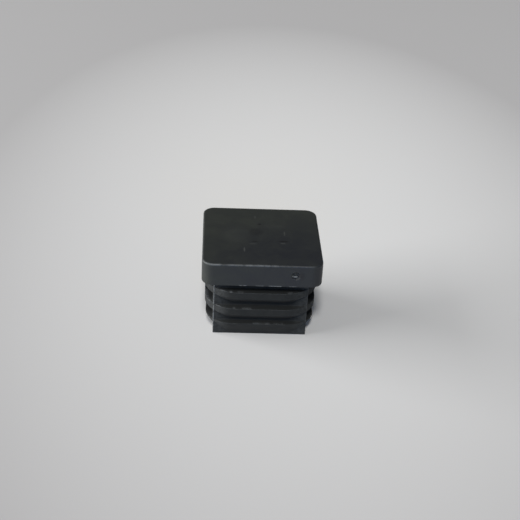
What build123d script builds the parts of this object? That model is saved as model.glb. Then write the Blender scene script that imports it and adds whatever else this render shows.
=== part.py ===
from build123d import *
from math import radians, sqrt, tan
import os

# A square end cap for a square tube, moulded in one piece. A flat head covers
# the end of the tube. Below it a hollow plug goes into the tube, and three
# barbed ribs round the plug grip the tube's inside.
# The origin is the middle of the plug's open end, which the cap stands on.
# +Z points up through the head, and the gate mark is on the -Y side.
# All sizes are millimetres and degrees.

# Head
head_width = 25.0  # the outside width of the tube
head_thickness = 5.0
head_corner_radius = 2.5  # the four upright corners
head_edge_radius = 0.5  # round the top face
top_skin = 3.0  # plastic left between the hollow and the top face

# Plug
plug_width = 19.8
plug_wall = 1.8
hollow_corner_radius = 1.0
plain_rim = 0.6  # bare plug wall below the lowest rib

# Ribs. Each has a flat ledge on top, an upright outer band, and an underside
# that slopes back to the plug. The lowest one leads the plug into the tube,
# so it stands out less, its band is narrow and its underside is a long taper.
rib_reach = 2.0  # from the plug's side to the band
rib_band = 1.45  # height of the band
rib_underside_angle = 45.0  # from the horizontal
lead_rib_reach = 1.8
lead_rib_band = 0.3
lead_rib_taper = 2.6  # height of its underside
rib_root = 0.3  # the sloping underside ends this far inside the plug's wall
corner_show = 0.1  # the plug's sharp corners stand this far proud of the ribs

# Steps up the plug, from one ledge to the next
lower_pitch = 3.8
upper_pitch = 4.1
head_gap = 2.1  # from the highest ledge to the head

# Gate mark on the side of the head: a shallow round well with a torn stub
gate_x = 6.9
gate_radius = 0.95
gate_depth = 0.35
gate_stub_radius = 0.45
gate_stub_height = 0.25

# Heights and widths that follow from the sizes above
rib_slope = tan(radians(rib_underside_angle))
lead_rib_slope = lead_rib_taper / lead_rib_reach
lead_ledge = plain_rim + lead_rib_taper + lead_rib_band
middle_ledge = lead_ledge + lower_pitch
top_ledge = middle_ledge + upper_pitch
plug_length = top_ledge + head_gap
total_height = plug_length + head_thickness
hollow_width = plug_width - 2 * plug_wall
ribs = [
    (lead_ledge, lead_rib_band, lead_rib_reach, lead_rib_slope),
    (middle_ledge, rib_band, rib_reach, rib_slope),
    (top_ledge, rib_band, rib_reach, rib_slope),
]

os.makedirs("parts", exist_ok=True)

with BuildPart() as end_cap:
    # The plug, solid for now, with sharp upright corners
    with BuildSketch(Plane.XY):
        Rectangle(plug_width, plug_width)
    extrude(amount=plug_length)

    # The ribs. Seen from above, a rib is a rounded square whose corner arcs
    # pass just inside the plug's corners, so each side's rib runs out to
    # nothing there and the plug's corners stay whole from top to bottom.
    for ledge, band, reach, slope in ribs:
        rib_width = plug_width + 2 * reach
        rib_corner = (sqrt(2) * reach + corner_show) / (sqrt(2) - 1)
        root_inset = reach + rib_root
        with BuildSketch(Plane.XY.offset(ledge)):
            RectangleRounded(rib_width, rib_width, rib_corner)
        extrude(amount=-band)
        with BuildSketch(Plane.XY.offset(ledge - band)):
            RectangleRounded(rib_width, rib_width, rib_corner)
        with BuildSketch(Plane.XY.offset(ledge - band - root_inset * slope)):
            root_width = rib_width - 2 * root_inset
            RectangleRounded(root_width, root_width, rib_corner - root_inset)
        loft(ruled=True)

    # The head, with its top edge rounded all the way round
    with BuildSketch(Plane.XY.offset(plug_length)):
        RectangleRounded(head_width, head_width, head_corner_radius)
    extrude(amount=head_thickness)
    fillet(end_cap.faces().sort_by(Axis.Z)[-1].edges(), head_edge_radius)

    # The hollow, open at the bottom, up to the skin under the top face
    with BuildSketch(Plane.XY):
        RectangleRounded(hollow_width, hollow_width, hollow_corner_radius)
    extrude(amount=total_height - top_skin, mode=Mode.SUBTRACT)

    # The gate mark, half way up the head's side
    gate_middle = (gate_x, -head_width / 2, plug_length + head_thickness / 2)
    gate_face = Plane(origin=gate_middle, x_dir=(1, 0, 0), z_dir=(0, -1, 0))
    with BuildSketch(gate_face):
        Circle(gate_radius)
    extrude(amount=-gate_depth, mode=Mode.SUBTRACT)
    with BuildSketch(gate_face.offset(-gate_depth)):
        Circle(gate_stub_radius)
    extrude(amount=gate_stub_height)

end_cap.part.label = "end_cap"
export_step(end_cap.part, "parts/end_cap.step")
print("end_cap", end_cap.part.bounding_box(), "volume", round(end_cap.part.volume, 1))
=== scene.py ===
import math

import bmesh
import bpy
import numpy as np
from mathutils import Matrix, Vector, noise


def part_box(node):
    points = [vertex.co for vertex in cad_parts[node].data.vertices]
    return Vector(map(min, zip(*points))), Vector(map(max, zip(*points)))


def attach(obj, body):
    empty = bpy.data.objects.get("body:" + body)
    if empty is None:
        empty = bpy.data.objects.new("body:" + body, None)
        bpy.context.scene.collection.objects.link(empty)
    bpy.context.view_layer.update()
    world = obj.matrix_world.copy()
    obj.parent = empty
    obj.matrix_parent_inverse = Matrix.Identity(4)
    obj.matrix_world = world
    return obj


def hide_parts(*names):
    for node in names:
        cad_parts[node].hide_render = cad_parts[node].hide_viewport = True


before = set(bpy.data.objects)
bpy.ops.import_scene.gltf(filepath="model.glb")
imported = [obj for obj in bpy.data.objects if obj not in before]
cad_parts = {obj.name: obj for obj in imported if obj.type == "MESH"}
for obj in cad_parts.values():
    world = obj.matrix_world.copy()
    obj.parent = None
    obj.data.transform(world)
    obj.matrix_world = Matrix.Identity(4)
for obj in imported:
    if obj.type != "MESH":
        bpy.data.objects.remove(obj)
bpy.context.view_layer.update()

# ------------------------------------------------------------------------------
# The camera. It looks down on the front of the cap from a little to the left,
# far enough off that the upright edges stay nearly parallel.
mm = 0.001
picture_side = 520  # pixels, both ways
focal_pixels = 1093.3
sensor_width = 36.0
nearest_seen = 10 * mm
elevation = math.radians(30.34)
bearing = math.radians(-3.25)
roll = math.radians(3.17)
aim_distance = 233.1 * mm
aim_pixel = (261.51, 235.62)  # where the middle of the head's top face lands

aim_point = Vector((0.0, 0.0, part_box("end_cap")[1].z))
turned = (
    Matrix.Rotation(bearing, 3, "Z")
    @ Matrix.Rotation(math.pi / 2 - elevation, 3, "X")
    @ Matrix.Rotation(roll, 3, "Z")
)
aim_in_view = aim_distance * Vector((
    (aim_pixel[0] - picture_side / 2) / focal_pixels,
    -(aim_pixel[1] - picture_side / 2) / focal_pixels,
    -1.0,
))
camera_data = bpy.data.cameras.new("camera")
camera_data.sensor_width = sensor_width
camera_data.lens = sensor_width * focal_pixels / picture_side
camera_data.clip_start = nearest_seen
camera = bpy.data.objects.new("camera", camera_data)
camera.matrix_world = Matrix.Translation(aim_point - turned @ aim_in_view) @ turned.to_4x4()
bpy.context.scene.collection.objects.link(camera)
bpy.context.scene.camera = camera
bpy.context.scene.view_settings.view_transform = "Standard"

# ------------------------------------------------------------------------------
# The cap. One shot of black polyethylene: a flat head that covers the tube's end,
# and a hollow square plug with three barbed ribs that grip the tube's inside.
# Its mesh is a stack of level rings, from the middle of the top face, out and down
# the head, down the ribbed plug, and up inside the hollow to its ceiling.
head_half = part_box("end_cap")[1].x
head_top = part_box("end_cap")[1].z
head_thickness = 5.0 * mm
head_corner = 2.5 * mm
head_edge = 0.4 * mm
head_lower_edge = 0.06 * mm
top_skin = 3.0 * mm  # plastic between the hollow and the top face
plug_half = 9.9 * mm
plug_corner = 0.12 * mm  # the moulding tool leaves even its sharp corners a little round
plug_wall = 1.8 * mm
hollow_corner = 1.0 * mm
rim_edge = 0.15 * mm  # round the plug's open end
ceiling_fillet = 0.4 * mm
root_fillet = 0.2 * mm  # where a ledge or the head meets the plug
rib_edge = 0.07 * mm
rib_wave = 0.15 * mm  # a rib's edge wavers by up to this
corner_show = 0.1 * mm  # the plug's corners stand this far proud of the ribs
head_bottom = head_top - head_thickness

# The ribs, from the top one down: the height of the ledge, of the upright band, how
# far the band stands out, and the height of the sloping underside. The lowest rib
# leads the plug into the tube, so its band is narrow and its underside a long taper.
ribs = [
    (head_bottom - 2.1 * mm, 1.45 * mm, 2.1 * mm, 2.0 * mm),
    (head_bottom - 6.2 * mm, 1.45 * mm, 1.9 * mm, 1.9 * mm),
    (head_bottom - 10.0 * mm, 0.3 * mm, 1.65 * mm, 2.6 * mm),
]

# Pale stretches of the edges along the -Y side: from, to, and how pale. On the head's top
# edge they are rubbed wear and painted highlight, at its foot painted highlight where the
# flash catches the light, and on the ribs wear and painted glints. The side runs
# from -1 at its left corner to 1 at its right one, and -3 to -1 is the side before it.
head_edge_rubs_and_highlight = [
    (-1.0, -0.72, 0.5), (-0.6, -0.35, 0.25), (-0.3, 0.12, 0.4), (0.15, 0.27, 0.4), (0.4, 0.5, 0.1),
]
flash_highlight_stretches = [(-0.39, -0.27, 0.8), (-0.11, 0.03, 0.6), (0.11, 0.33, 1.0), (0.47, 0.59, 0.6)]
rib_rubs_and_glints = [
    [(-0.87, -0.76, 0.9), (-0.68, -0.6, 0.9), (-0.5, -0.38, 0.5), (0.55, 0.66, 0.4)],
    [(-1.6, -0.86, 1.0), (-0.58, -0.54, 0.9), (-0.4, -0.2, 0.5)],
    [(-0.15, 0.22, 0.7), (0.3, 0.5, 0.5)],
]
# How pale each edge is along the middle of its round: wear, and painted highlight where the edge catches the
# light
least_edge_wear_and_highlight = 0.1
least_rib_wear_and_highlight = 0.25
low_edge_highlight = 0.2
rim_wear = 0.6
other_corner_wear = 0.3  # the front left corner is pale right through to 1, a painted highlight of the bright floor glancing off it
rib_end_scuff = 0.11

# The gate mark, on the -Y side of the head
gate_x = 6.85 * mm
gate_z = head_bottom + 2.58 * mm
gate_radius = 0.95 * mm
gate_depth = 0.3 * mm
gate_bevel = 0.25 * mm
gate_reach = 1.2 * mm  # the close-set part of the mesh round it
gate_tear = 0.25  # roughness of its floor, as a share of its depth
# The torn ridges in it: middle across and up, half length, half height, share of depth
gate_ridges = [
    (-0.2 * mm, -0.12 * mm, 0.72 * mm, 0.2 * mm, 1.15),
    (-0.4 * mm, -0.66 * mm, 0.45 * mm, 0.14 * mm, 0.6),
    (-0.15 * mm, 0.42 * mm, 0.35 * mm, 0.3 * mm, 0.5),
]

# The columns that every ring has. Each belongs to one of the four sides, counted
# from -Y anticlockwise, and t runs from -1 to 1 between that side's two corners.
# They stand closer at the plug's sharp corners and at the gate mark.
side_count = 4
front, left = 0, 3
columns_per_side = 100
corner_columns = [0.9905, 0.9929, 0.9953, 0.9976]
gate_columns = 28
gate_t = gate_x / (head_half - head_corner + head_corner * math.pi / 4)
gate_t_reach = 1.25 * mm / head_half
columns = []
for side_number in range(side_count):
    places = list(np.linspace(-1, 1, columns_per_side, endpoint=False))
    places += [sign * place for place in corner_columns for sign in (-1, 1)]
    if side_number == front:
        places = [place for place in places if abs(place - gate_t) >= gate_t_reach]
        places += list(gate_t + np.linspace(-gate_t_reach, gate_t_reach, gate_columns))
    columns += [(side_number, place) for place in sorted(places)]
side = np.array([column[0] for column in columns])
t = np.array([column[1] for column in columns])
side_cos = np.round(np.cos(side * math.pi / 2))
side_sin = np.round(np.sin(side * math.pi / 2))


def rounded_square(half, corner, inset=0.0):
    """Where each column meets a rounded square: along its side, and out from the axis."""
    straight = half - corner
    walked = np.abs(t) * (straight + corner * math.pi / 4)
    turn = np.clip((walked - straight) / corner, 0, math.pi / 4)
    along = np.minimum(walked, straight) + (corner - inset) * np.sin(turn)
    out = straight + (corner - inset) * np.cos(turn)
    return np.sign(t) * along, out


def pale_between(stretches):
    """How pale each column is, from (start, end, paleness) stretches along the -Y side: pale from wear, and
    painted highlight where a stretch stands for light on an edge.

    A stretch that starts below -1 begins round the corner, on the -X side."""
    fade_length = 0.015
    elsewhere = 9.0
    run = np.where(side == left, t - 2, np.where(side == front, t, elsewhere))
    paleness = np.zeros(len(t))
    for start, end, how_worn in stretches:
        inside = np.clip(np.minimum(run - start, end - run) / fade_length + 0.5, 0, 1)
        paleness = np.maximum(paleness, how_worn * inside)
    return paleness


rings = []
ring_wear_and_highlight = []


def add_ring(along, out, z, wear_and_highlight=0.0):
    """Adds a ring of points, and how pale the plastic is along it, from wear and painted highlight."""
    x = along * side_cos + out * side_sin
    y = along * side_sin - out * side_cos
    rings.append(np.stack([x, y, z + 0 * t], axis=1))
    ring_wear_and_highlight.append(wear_and_highlight + 0 * t)


def spread(start, end, count):
    """Count steps from start to end, with start left out."""
    return [start + (end - start) * step / count for step in range(1, count + 1)]


def leans(count, turn=math.pi / 2):
    """The angles of an arc from level to turn, in count steps, both ends included."""
    return [turn * step / count for step in range(count + 1)]


# The top face: rings that open from the middle, and the rounded edge round it
face_start, face_end, face_rings = 0.02, 0.985, 24
head_edge_steps, small_edge_steps = 7, 3
face_along, face_out = rounded_square(head_half, head_corner, head_edge)
for grow in spread(face_start, face_end, face_rings):
    add_ring(face_along * grow, face_out * grow, head_top)
# The head's top edge is pale along its round: rubbed wear and painted highlight
edge_wear_and_highlight = least_edge_wear_and_highlight + pale_between(head_edge_rubs_and_highlight)
for lean in leans(head_edge_steps):
    inset = head_edge * (1 - math.sin(lean))
    height = head_top - head_edge * (1 - math.cos(lean))
    add_ring(*rounded_square(head_half, head_corner, inset), height, edge_wear_and_highlight * math.sin(2 * lean))

# The head's upright side, close-set by the gate mark, with painted highlight dashes along its foot where the
# parting line's flash catches the light
side_along, side_out = rounded_square(head_half, head_corner)
side_top = head_top - head_edge
side_bottom = head_bottom + head_lower_edge
highlight_band_top = side_bottom + 0.16 * mm
highlight_band_fade = 0.05 * mm
steps_above_gate, steps_by_gate, steps_below_gate = 5, 28, 3
heights = spread(side_top, gate_z + gate_reach, steps_above_gate)
heights += spread(gate_z + gate_reach, gate_z - gate_reach, steps_by_gate)
heights += spread(gate_z - gate_reach, highlight_band_top, steps_below_gate)
for height in heights:
    add_ring(side_along, side_out, height)
# Painted highlight: pale dashes along the head's foot, in colour only
flash_highlight = pale_between(flash_highlight_stretches)
add_ring(side_along, side_out, highlight_band_top - highlight_band_fade, flash_highlight)
add_ring(side_along, side_out, side_bottom, flash_highlight)
for lean in leans(small_edge_steps)[1:]:
    inset = head_lower_edge * (1 - math.cos(lean))
    height = side_bottom - head_lower_edge * math.sin(lean)
    add_ring(*rounded_square(head_half, head_corner, inset), height, flash_highlight * math.cos(lean))

# The head's flat underside, in to the plug. On every flat, rings lie close to both ends.
underside_shares = (0.03, 0.35, 0.7, 0.97)
plug_along, plug_out = rounded_square(plug_half, plug_corner)
rim_along, rim_out = rounded_square(head_half, head_corner, head_lower_edge)
foot_out = plug_out + root_fillet
for share in underside_shares:
    along = rim_along + (plug_along - rim_along) * share
    add_ring(along, rim_out + (foot_out - rim_out) * share, head_bottom)
for lean in leans(small_edge_steps):
    stand = root_fillet * (1 - math.sin(lean))
    add_ring(plug_along, plug_out + stand, head_bottom - root_fillet * (1 - math.cos(lean)))

# The plug's upright corners are pale from wear, the front left one palest, a painted highlight there, and
# the ribs' ends near them are scuffed
corner_start, corner_run = 0.985, 0.01
corner_wear_and_highlight = np.clip((np.abs(t) - corner_start) / corner_run, 0, 1)
front_left = ((side == front) & (t < 0)) | ((side == left) & (t > 0))
corner_wear_and_highlight = np.where(front_left, corner_wear_and_highlight, other_corner_wear * corner_wear_and_highlight)
scuff_start, scuff_run = 0.65, 0.2
scuff = np.clip((np.abs(t) - scuff_start) / scuff_run, 0, 1)
corner_wear_and_highlight = np.maximum(corner_wear_and_highlight, rib_end_scuff * scuff * ((side == front) | (side == left)))

# The ribs. A column meets a rib at its ledge, its band and its sloping underside,
# and the rib runs out to nothing where its corner arc passes behind the plug's corner.
ledge_shares = (0.1, 0.5, 0.95)
band_shares = (0.06, 0.3, 0.6, 0.94)
slope_shares = (0.15, 0.4, 0.7, 1.0)
wall_steps, rib_edge_steps, low_edge_steps = 3, 4, 2
ledge_clearance = 0.02 * mm
most_cut, most_filled = 0.3, 0.4  # shares of a rib's reach that an edge and a fillet may take
wave_pitch, nibble_pitch = 0.6, 2.9
side_apart, rib_apart = 7.3, 5.1  # so that no two edges waver alike
above = head_bottom - root_fillet
for rib_number, (ledge, band, reach, slope) in enumerate(ribs):
    rib_corner = (math.sqrt(2) * reach + corner_show) / (math.sqrt(2) - 1)
    rib_straight = plug_half + reach - rib_corner
    past = np.maximum(np.abs(plug_along) - rib_straight, 0)

    def stand_out(drop):
        """How far the rib stands out of the plug, this far in from the band."""
        arc = np.sqrt(np.maximum((rib_corner - drop) ** 2 - past**2, 0))
        return np.maximum(rib_straight + arc - plug_out, 0)

    # The ribs' edges are pale along their middle and in stretches: wear and painted glints of light
    rubs_and_glints = pale_between(rib_rubs_and_glints[rib_number])
    rib_wear_and_highlight = np.maximum(least_rib_wear_and_highlight, rubs_and_glints)
    wave = np.zeros(len(t))
    nibble = np.zeros(len(t))
    for index in range(len(t)):
        along_rib = side[index] * side_apart + t[index] * plug_half / mm
        spot = Vector((along_rib, rib_number * rib_apart, 0.0))
        wave[index] = 0.5 + 0.5 * noise.noise(spot * wave_pitch)
        nibble[index] = 0.5 + 0.8 * noise.noise(spot * nibble_pitch)
    whole = stand_out(0.0)
    whole = whole - np.minimum(rib_wave * wave, whole * most_cut)
    fillet = np.minimum(root_fillet, whole * most_filled)
    edge = np.minimum(rib_edge * (0.6 + 0.9 * np.clip(nibble, 0, 1)), whole * most_cut)
    low_edge = edge * math.tan(math.pi / 8)
    root = rib_corner - np.sqrt(past**2 + (plug_out - rib_straight) ** 2)
    deepest = np.clip(root, 0, reach)

    for height in spread(above, ledge + root_fillet + ledge_clearance, wall_steps):
        add_ring(plug_along, plug_out, height, corner_wear_and_highlight)
    for lean in leans(small_edge_steps):
        stand = fillet * (1 - math.cos(lean))
        add_ring(plug_along, plug_out + stand, ledge + fillet * (1 - math.sin(lean)), corner_wear_and_highlight)
    for share in ledge_shares:
        stand = fillet + (whole - edge - fillet) * share
        add_ring(plug_along, plug_out + stand, ledge, np.maximum(corner_wear_and_highlight, rubs_and_glints * share**4))
    for lean in leans(rib_edge_steps):
        stand = whole - edge * (1 - math.sin(lean))
        height = ledge - edge * (1 - math.cos(lean))
        worn_edge = np.maximum(rib_wear_and_highlight * math.sin(2 * lean), corner_wear_and_highlight)
        add_ring(plug_along, plug_out + stand, height, worn_edge)
    for share in band_shares:
        height = ledge - edge - (band - edge - low_edge) * share
        add_ring(plug_along, plug_out + whole, height, corner_wear_and_highlight)
    for lean in leans(low_edge_steps, math.pi / 4):
        stand = whole - edge * (1 - math.cos(lean))
        height = ledge - band + low_edge - edge * math.sin(lean)
        worn_edge = np.maximum(low_edge_highlight * math.sin(4 * lean), corner_wear_and_highlight)
        add_ring(plug_along, plug_out + stand, height, worn_edge)
    for share in slope_shares:
        drop = deepest * share
        stand = np.minimum(stand_out(drop), whole)
        add_ring(plug_along, plug_out + stand, ledge - band - drop * slope / reach, corner_wear_and_highlight)
    above = ledge - band - deepest * slope / reach

# The plug's bare rim, its foot, and the hollow up to its ceiling
foot_shares = (0.05, 0.5, 0.95)
ceiling_shares = (0.97, 0.8, 0.6, 0.4, 0.2, 0.05)
hollow_steps, ceiling_fillet_steps = 12, 4
for height in spread(above, rim_edge, wall_steps):
    add_ring(plug_along, plug_out, height, corner_wear_and_highlight)
for lean in leans(small_edge_steps)[1:]:
    out = plug_out - rim_edge * (1 - math.cos(lean))
    add_ring(plug_along, out, rim_edge * (1 - math.sin(lean)), rim_wear * math.sin(2 * lean))
hollow_half = plug_half - plug_wall
hollow_along, hollow_out = rounded_square(hollow_half, hollow_corner)
foot_out = plug_out - rim_edge
mouth_out = hollow_out + rim_edge
for share in foot_shares:
    along = plug_along + (hollow_along - plug_along) * share
    add_ring(along, foot_out + (mouth_out - foot_out) * share, 0.0)
for lean in leans(small_edge_steps):
    out = hollow_out + rim_edge * (1 - math.sin(lean))
    add_ring(hollow_along, out, rim_edge * (1 - math.cos(lean)))
ceiling = head_top - top_skin
for height in spread(rim_edge, ceiling - ceiling_fillet, hollow_steps):
    add_ring(hollow_along, hollow_out, height)
for lean in leans(ceiling_fillet_steps)[1:]:
    inset = ceiling_fillet * (1 - math.cos(lean))
    height = ceiling - ceiling_fillet * (1 - math.sin(lean))
    add_ring(*rounded_square(hollow_half, hollow_corner, inset), height)
ceiling_along, ceiling_out = rounded_square(hollow_half, hollow_corner, ceiling_fillet)
for share in ceiling_shares:
    add_ring(ceiling_along * share, ceiling_out * share, ceiling)

points = np.stack(rings)
wear_and_highlight = np.stack(ring_wear_and_highlight)

# The gate mark: a shallow round well in the head's side, with the torn end of the
# feed standing in it, pale along the crests of its ridges
flush_within = 0.01 * mm
tear_pitch, tear_start = 3.1, Vector((4.0, 0.0, 1.0))
crest_gain, crest_start = 2.2, 1.2
off_x = points[:, :, 0] - gate_x
off_z = points[:, :, 2] - gate_z
off = np.hypot(off_x, off_z)
flush = points[:, :, 1] < -head_half + flush_within
by_gate = (side[None, :] == front) & flush & (off < gate_reach)
well = np.clip((gate_radius - off) / gate_bevel, 0, 1)
ridge = np.zeros(off.shape)
for across, up, half_length, half_height, share in gate_ridges:
    reach_in = 1 - ((off_x - across) / half_length) ** 2 - ((off_z - up) / half_height) ** 2
    ridge = np.maximum(ridge, share * np.clip(reach_in * 2, 0, 1))
for ring, column in zip(*np.nonzero(by_gate)):
    in_well = Vector((off_x[ring, column], 0.0, off_z[ring, column])) / mm
    tear = gate_tear * noise.noise(in_well * tear_pitch + tear_start)
    depth = gate_depth * well[ring, column] * (1 - ridge[ring, column] + tear)
    points[ring, column, 1] += max(0.0, depth)
    crest = crest_gain * ridge[ring, column] - crest_start
    wear_and_highlight[ring, column] = max(wear_and_highlight[ring, column], crest)

# The rings become one closed skin, with hard edges only where it turns sharply
cap_mesh = bpy.data.meshes.new("end_cap_moulding")
cap_build = bmesh.new()
wear_and_highlight_layer = cap_build.verts.layers.float.new("wear_and_highlight")
grid = []
for ring, ring_marks in zip(points, wear_and_highlight):
    row = [cap_build.verts.new(point) for point in ring]
    for vertex, mark in zip(row, ring_marks):
        vertex[wear_and_highlight_layer] = mark
    grid.append(row)
for upper, lower in zip(grid, grid[1:]):
    for column in range(len(t)):
        follower = (column + 1) % len(t)
        cap_build.faces.new((upper[column], lower[column], lower[follower], upper[follower]))
cap_build.faces.new(grid[0])
cap_build.faces.new(reversed(grid[-1]))
same_point = 0.002 * mm
no_length = 0.001 * mm
bmesh.ops.remove_doubles(cap_build, verts=cap_build.verts, dist=same_point)
bmesh.ops.dissolve_degenerate(cap_build, edges=cap_build.edges, dist=no_length)
for face in cap_build.faces:
    face.smooth = True
cap_build.to_mesh(cap_mesh)
cap_build.free()
sharp_angle = math.radians(35)
cap_mesh.set_sharp_from_angle(angle=sharp_angle)
cap = bpy.data.objects.new("end_cap_moulding", cap_mesh)
bpy.context.scene.collection.objects.link(cap)


class Wire:
    """A socket in a material's nodes. Arithmetic on wires adds Math nodes."""

    def __init__(self, tree, socket=None):
        self.tree = tree
        self.socket = socket

    def node(self, kind, settings=None, inputs=None, output=0):
        """Adds a node: its settings first, then the values or wires of its sockets."""
        made = self.tree.nodes.new(kind)
        for name, setting in (settings or {}).items():
            setattr(made, name, setting)
        for name, value in (inputs or {}).items():
            if isinstance(value, Wire):
                self.tree.links.new(value.socket, made.inputs[name])
            else:
                made.inputs[name].default_value = value
        return Wire(self.tree, made.outputs[output] if made.outputs else None)

    def maths(self, operation, first, second):
        """A Math node on two values or wires."""
        return self.node("ShaderNodeMath", {"operation": operation}, {0: first, 1: second})

    def __add__(self, other):
        return self.maths("ADD", self, other)

    def __sub__(self, other):
        return self.maths("SUBTRACT", self, other)

    def __rsub__(self, other):
        return self.maths("SUBTRACT", other, self)

    def __mul__(self, other):
        return self.maths("MULTIPLY", self, other)

    __radd__ = __add__
    __rmul__ = __mul__

    def between(self, low_end, high_end):
        """0 below low_end, 1 above high_end, and a smooth step from one to the other."""
        return self.node(
            "ShaderNodeMapRange",
            {"interpolation_type": "SMOOTHSTEP"},
            {"Value": self, "From Min": low_end, "From Max": high_end},
        )

    def mix(self, first, second):
        """The colour first where this wire is 0, and second where it is 1."""
        return self.node(
            "ShaderNodeMix", {"data_type": "RGBA"}, {"Factor": self, 6: first, 7: second}, output=2
        )


# Its plastic: black polyethylene with a satin skin. Its colour is darker and bluer near the
# gate, on the head's front, and paler and more olive away from it, towards the back of the
# top: painted shade on the front and painted sheen on the top. The melt's flow leaves it
# faintly clouded, and its edges are pale, partly from wear and partly painted highlight. The
# ribs, which the tool leaves rougher, are duller than the head, and darker: painted shade.
plastic_material = bpy.data.materials.new("black_polyethylene")
plastic_material.use_nodes = True
plastic_material.node_tree.nodes.clear()
plastic = Wire(plastic_material.node_tree)
black = (0.0098, 0.0118, 0.0158, 1.0)
clouded_sheen_black = (0.023, 0.0265, 0.0225, 1.0)
# Painted shade: a darker black for the ribs and plug than for the head
rib_shade_black = (0.0075, 0.0088, 0.0085, 1.0)
rubbed_and_highlight_grey = (0.16, 0.17, 0.175, 1.0)
scratch_and_highlight_grey = (0.075, 0.08, 0.075, 1.0)
painted_shade_black = (0.002, 0.002, 0.003, 1.0)
near_gate, far_from_gate = 6 * mm, 26 * mm
satin = 0.46  # roughness of the plain head

# Marks in the colour, all but the last on the top face. The pale ones are scratches and
# faint smudges, and painted highlights on the lit sides of small bumps; the dark ones are
# painted shade in dents and pits and on the bumps' shaded sides; the last is painted shadow
# in the gate mark's well. Each has its middle and half size in mm, how strongly the colour
# takes over, and the colour
top_at = head_top / mm
marks = [
    ((-0.3, 5.0, top_at), (0.55, 0.5, 0.3), 0.8, painted_shade_black),
    ((-3.75, -6.1, top_at), (0.25, 1.3, 0.3), 0.6, scratch_and_highlight_grey),
    ((4.95, 1.1, top_at), (0.22, 1.5, 0.3), 0.45, scratch_and_highlight_grey),
    ((4.6, -2.3, top_at), (1.4, 0.42, 0.3), 0.9, painted_shade_black),
    ((4.45, -3.2, top_at), (0.8, 0.4, 0.3), 0.35, scratch_and_highlight_grey),
    ((-1.45, -2.6, top_at), (1.0, 0.4, 0.3), 0.7, painted_shade_black),
    ((-1.9, -3.6, top_at), (1.1, 0.4, 0.3), 0.25, scratch_and_highlight_grey),
    ((-1.2, 8.2, top_at), (0.3, 0.9, 0.3), 0.35, scratch_and_highlight_grey),
    ((-5.4, 0.4, top_at), (4.2, 5.0, 0.3), 0.08, scratch_and_highlight_grey),
    ((3.0, 4.2, top_at), (4.0, 1.3, 0.3), 0.06, scratch_and_highlight_grey),
    ((-1.2, 1.6, top_at), (2.0, 2.2, 0.3), 0.35, painted_shade_black),
    # Painted shadow in the gate mark's well, above and to the right of it
    ((8.1, -12.5, 16.1), (0.8, 0.5, 1.2), 0.5, painted_shade_black),
]

place = plastic.node("ShaderNodeTexCoord", output=3)
in_mm = plastic.node("ShaderNodeVectorMath", {"operation": "SCALE"}, {0: place, "Scale": 1 / mm})
cloud = plastic.node(
    "ShaderNodeTexNoise", None,
    {"Vector": in_mm, "Scale": 0.22, "Detail": 4.0, "Roughness": 0.6, "Distortion": 0.6},
)
flow = plastic.node(
    "ShaderNodeTexNoise", None,
    {"Vector": in_mm, "Scale": 0.8, "Detail": 3.0, "Roughness": 0.55, "Distortion": 1.5},
)
grain = plastic.node(
    "ShaderNodeTexNoise", None, {"Vector": in_mm, "Scale": 7.0, "Detail": 2.0, "Roughness": 0.6}
)
pits = plastic.node("ShaderNodeTexVoronoi", None, {"Vector": in_mm, "Scale": 1.1, "Randomness": 1.0})
scuffing = plastic.node(
    "ShaderNodeTexNoise", None, {"Vector": in_mm, "Scale": 1.6, "Detail": 5.0, "Roughness": 0.7}
)
worn = plastic.node("ShaderNodeAttribute", {"attribute_name": "wear_and_highlight"}, output=2)

gate_middle = (gate_x, -head_half, gate_z)
from_gate = plastic.node(
    "ShaderNodeVectorMath", {"operation": "DISTANCE"}, {0: place, 1: gate_middle}, output=1
)
height_up = plastic.node("ShaderNodeSeparateXYZ", None, {"Vector": place}, output=2)
ribbed = 1 - height_up.between(head_bottom - 0.1 * mm, head_bottom)
clouding = cloud.between(0.35, 0.7)
# Pale where the wear attribute says: real wear, and painted highlights on the edges, the front left corner
# and the head's foot
rub_and_highlight = worn * scuffing.between(0.3, 0.6)
pit = 1 - pits.between(0.0, 0.12)
# Clouding is the plastic's own tone; the rise away from the gate is painted sheen on the top, and its lack
# painted shade on the front. The ribs get a darker black, painted shade.
cloud_and_sheen = 0.35 * clouding + 0.8 * from_gate.between(near_gate, far_from_gate)
colour = ribbed.mix(cloud_and_sheen.mix(black, clouded_sheen_black), rib_shade_black)
# The marks, laid over the colour: painted highlights and painted shade among real scratches
for middle, half_size, strength, shade in marks:
    inside = plastic.node(
        "ShaderNodeMapping",
        {"vector_type": "TEXTURE"},
        {"Vector": in_mm, "Location": middle, "Scale": half_size},
    )
    off_middle = plastic.node("ShaderNodeVectorMath", {"operation": "LENGTH"}, {0: inside}, output=1)
    colour = (strength * (1 - off_middle.between(0.3, 1.0))).mix(colour, shade)
colour = rub_and_highlight.mix(colour, rubbed_and_highlight_grey)
roughness = satin + 0.06 * clouding + 0.08 * flow + 0.05 * grain + 0.3 * ribbed - 0.1 * rub_and_highlight
relief = 0.35 * grain + 0.5 * flow - 0.6 * pit
bump = plastic.node(
    "ShaderNodeBump", None, {"Strength": 0.25, "Distance": 0.03 * mm, "Height": relief}
)
shader = plastic.node(
    "ShaderNodeBsdfPrincipled",
    None,
    {"Base Color": colour, "Roughness": roughness, "Normal": bump, "IOR": 1.5, "Specular IOR Level": 0.5},
)
plastic.node("ShaderNodeOutputMaterial", None, {"Surface": shader})

cap_mesh.materials.append(plastic_material)
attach(cap, "root")
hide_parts("end_cap")

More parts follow.
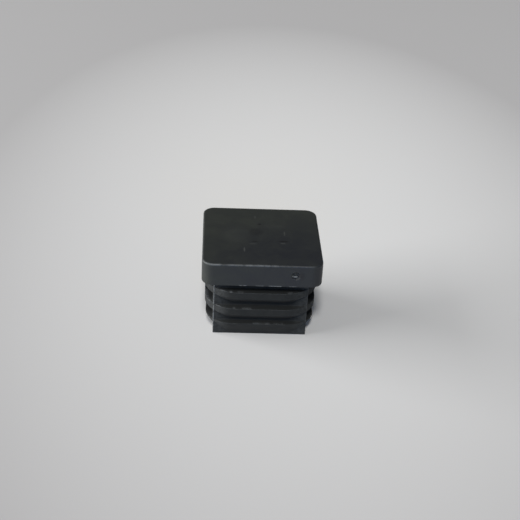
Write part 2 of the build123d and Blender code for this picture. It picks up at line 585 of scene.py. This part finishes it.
# ------------------------------------------------------------------------------
# The floor: a matt pale sheet, brightest behind the cap and a little greyer away
# from it, more so to the sides than to the front and back. The greying is a painted
# fall-off of light, the edge of the lamps' pool painted into the floor's colour.
floor_half = 3.0
floor_mesh = bpy.data.meshes.new("floor")
floor_corners = [
    (-floor_half, -floor_half, 0.0),
    (floor_half, -floor_half, 0.0),
    (floor_half, floor_half, 0.0),
    (-floor_half, floor_half, 0.0),
]
floor_mesh.from_pydata(floor_corners, [], [(0, 1, 2, 3)])
floor = bpy.data.objects.new("floor", floor_mesh)
bpy.context.scene.collection.objects.link(floor)
floor_material = bpy.data.materials.new("pale_floor")
floor_material.use_nodes = True
floor_material.node_tree.nodes.clear()
sheet = Wire(floor_material.node_tree)
near_grey = (0.82, 0.82, 0.812, 1.0)
falloff_grey = (0.40, 0.39, 0.392, 1.0)
bright_middle = (12 * mm, 47 * mm, 0.0)
falloff_reach = (109 * mm, 186 * mm, 1.0)
deepest_falloff = 0.65
floor_place = sheet.node("ShaderNodeTexCoord", output=3)
away = sheet.node(
    "ShaderNodeMapping",
    {"vector_type": "TEXTURE"},
    {"Vector": floor_place, "Location": bright_middle, "Scale": falloff_reach},
)
away_squared = sheet.node("ShaderNodeVectorMath", {"operation": "DOT_PRODUCT"}, {0: away, 1: away}, output=1)
# Painted fall-off of light
painted_falloff = sheet.maths("MINIMUM", away_squared, deepest_falloff)
floor_shader = sheet.node(
    "ShaderNodeBsdfPrincipled",
    None,
    {"Base Color": painted_falloff.mix(near_grey, falloff_grey), "Roughness": 0.9, "Specular IOR Level": 0.1},
)
sheet.node("ShaderNodeOutputMaterial", None, {"Surface": floor_shader})
floor_mesh.materials.append(floor_material)

# ------------------------------------------------------------------------------
# The lights: a wide, low window on the left, in two parts, which throws the long
# soft shadow to the right, a soft lamp high in front, a little blue sky light low in
# front, and a dim room all round, which the camera sees as a pale wall.


def area_lamp(name, bearing_from_front, height_angle, distance, width, height, watts, tint):
    """A soft rectangle of light that faces the cap. Bearings run anticlockwise from -Y."""
    lamp_data = bpy.data.lights.new(name, "AREA")
    lamp_data.shape = "RECTANGLE"
    lamp_data.size = width
    lamp_data.size_y = height
    lamp_data.energy = watts
    lamp_data.color = tint
    lamp = bpy.data.objects.new(name, lamp_data)
    level = distance * math.cos(height_angle)
    where = Vector((
        level * math.sin(bearing_from_front),
        -level * math.cos(bearing_from_front),
        distance * math.sin(height_angle),
    ))
    lamp.location = where
    lamp.rotation_euler = (-where).to_track_quat("-Z", "Y").to_euler()
    bpy.context.scene.collection.objects.link(lamp)


lamp_distance = 3.2
white = (1.0, 1.0, 1.0)
warm_white = (1.0, 0.985, 0.96)
sky_blue = (0.12, 0.43, 1.0)
# Each lamp's bearing, height above the floor, width, height, watts and tint
lamps = {
    "window": (math.radians(-92), math.radians(20), 3.2, 1.2, 80.0, white),
    "window_sill": (math.radians(-90), math.radians(8), 3.2, 0.4, 72.0, white),
    "front_lamp": (math.radians(-5), math.radians(52), 0.4, 0.6, 51.0, warm_white),
    "sky_light": (math.radians(0), math.radians(12), 2.4, 1.0, 18.0, sky_blue),
}
for lamp_name, (lamp_bearing, lamp_height, width, height, watts, tint) in lamps.items():
    area_lamp(lamp_name, lamp_bearing, lamp_height, lamp_distance, width, height, watts, tint)

room_level = 0.12
wall_grey = (0.55, 0.54, 0.545, 1.0)
world = bpy.data.worlds.new("room")
world.use_nodes = True
world.node_tree.nodes.clear()
room = Wire(world.node_tree)
seen = room.node("ShaderNodeLightPath", output=0)
dim = room.node("ShaderNodeBackground", None, {"Color": (*white, 1.0), "Strength": room_level})
pale = room.node("ShaderNodeBackground", None, {"Color": wall_grey, "Strength": 1.0})
room_shader = room.node("ShaderNodeMixShader", None, {0: seen, 1: dim, 2: pale})
room.node("ShaderNodeOutputWorld", None, {"Surface": room_shader})
bpy.context.scene.world = world
